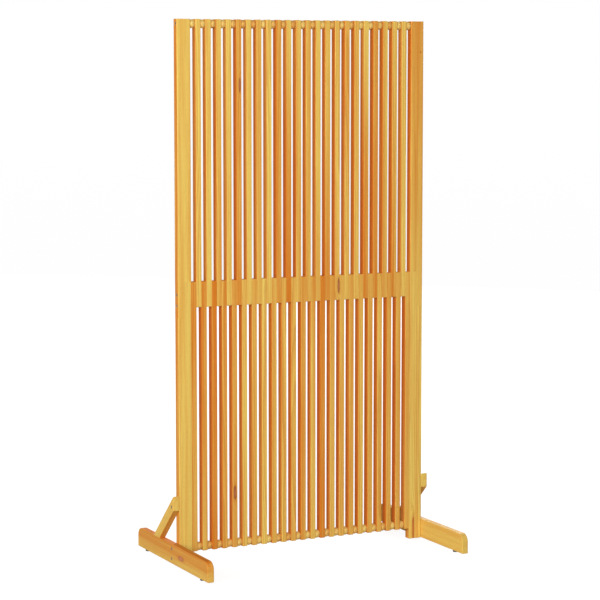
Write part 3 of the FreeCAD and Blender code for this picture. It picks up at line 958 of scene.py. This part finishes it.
def nail(x, y):
    """A flat-headed nail, from its head up to its point."""
    head_radius = nails_high[0] - FOOT_MIDDLE
    length = nails_high[2] - nails_low[2]
    profile = [(head_radius - HEAD_EASE, 0), (head_radius, HEAD_EASE),
               (head_radius, NAIL_HEAD_THICKNESS), (NAIL_RADIUS, NAIL_HEAD_THICKNESS),
               (NAIL_RADIUS, length - NAIL_POINT), (SCREW_TIP_RADIUS, length)]
    radii, heights = np.array(profile).T
    return turned(radii, heights, (x, y, nails_low[2]), Z_AXIS, METAL_SIDES)


glides = made("glides_plastic", *[glide(x, y) for x, y in GLIDE_PLACES])
dress(glides, black_plastic(), "glides")
nails = made("glide_nails_steel", *[nail(x, y) for x, y in GLIDE_PLACES])
dress(nails, ZINC_STEEL, "glide_nails")


# ---- Floor, light and camera ---------------------------------------------------------------
# A plain pale floor that runs out of sight, and three soft boxes: in front, on the left, and
# behind at the right.  The camera stands in front, to the left.

CAMERA_PLACE = (-3.117, -6.394, 1.631)
CAMERA_TURN = math.radians(25.94)
CAMERA_DIP = math.radians(5.40)
CAMERA_LENS = 127.2
CAMERA_SHIFT = -0.0475
CAMERA_SENSOR = 36

camera = bpy.data.objects.new("camera", bpy.data.cameras.new("camera"))
camera.location = CAMERA_PLACE
camera.rotation_euler = (math.pi / 2 - CAMERA_DIP, 0, -CAMERA_TURN)
camera.data.lens = CAMERA_LENS
camera.data.sensor_width = CAMERA_SENSOR
camera.data.shift_y = CAMERA_SHIFT
bpy.context.scene.collection.objects.link(camera)
bpy.context.scene.camera = camera


def straight_rays(tree):
    """1 for rays seen directly, in a mirror or through glass, and 0 for light that bounces."""
    rays = tree.nodes.new("ShaderNodeLightPath").outputs
    by_surface = math_node(tree, "MAXIMUM", rays["Is Glossy Ray"], rays["Is Transmission Ray"])
    return math_node(tree, "MAXIMUM", rays["Is Camera Ray"], by_surface)


WHITE = (1, 1, 1, 1)
FLOOR_HALF = 30.0
FLOOR_LIT = (0.4, 0.4, 0.4, 1)
FLOOR_SEEN = (0.16, 0.16, 0.16, 1)
FLOOR_GLOW = 0.9
floor_corners = np.zeros((4, 3))
floor_corners[:, :2] = rectangle((-FLOOR_HALF, -FLOOR_HALF), (FLOOR_HALF, FLOOR_HALF))
floor = made("floor", (floor_corners, [[0, 1, 2, 3]]))
floor_paint, tree, shader = principled("floor paint")
shader["Roughness"].default_value = 1.0
straight = straight_rays(tree)
wire(tree, mixed(tree, straight, FLOOR_LIT, FLOOR_SEEN), shader["Base Color"])
wire(tree, WHITE, shader["Emission Color"])
wire(tree, math_node(tree, "MULTIPLY", straight, FLOOR_GLOW), shader["Emission Strength"])
floor.data.materials.append(floor_paint)

SKY = 0.16
world = bpy.data.worlds.new("studio")
world.use_nodes = True
bpy.context.scene.world = world
tree = world.node_tree
background = tree.nodes["Background"]
straight = straight_rays(tree)
wire(tree, WHITE, background.inputs["Color"])
wire(tree, math_node(tree, "ADD", SKY, math_node(tree, "MULTIPLY", straight, 1 - SKY)),
     background.inputs["Strength"])


def soft_lamp(name, place, target, size, watts):
    """A square soft box at a place, turned to a target."""
    lamp = bpy.data.objects.new(name, bpy.data.lights.new(name, "AREA"))
    lamp.data.size = size
    lamp.data.energy = watts
    lamp.location = place
    lamp.rotation_euler = (Vector(target) - Vector(place)).to_track_quat("-Z", "Y").to_euler()
    bpy.context.scene.collection.objects.link(lamp)


PANEL_MIDDLE = (0, 0, 0.9)
soft_lamp("front light", (-3.9, -8.2, 3.2), PANEL_MIDDLE, size=3.9, watts=475)
soft_lamp("left light", (-7.5, -3.8, 3.2), PANEL_MIDDLE, size=4.5, watts=440)
soft_lamp("rear light", (5.4, 5.6, 3.4), PANEL_MIDDLE, size=3.9, watts=540)

bpy.context.scene.view_settings.view_transform = "Standard"
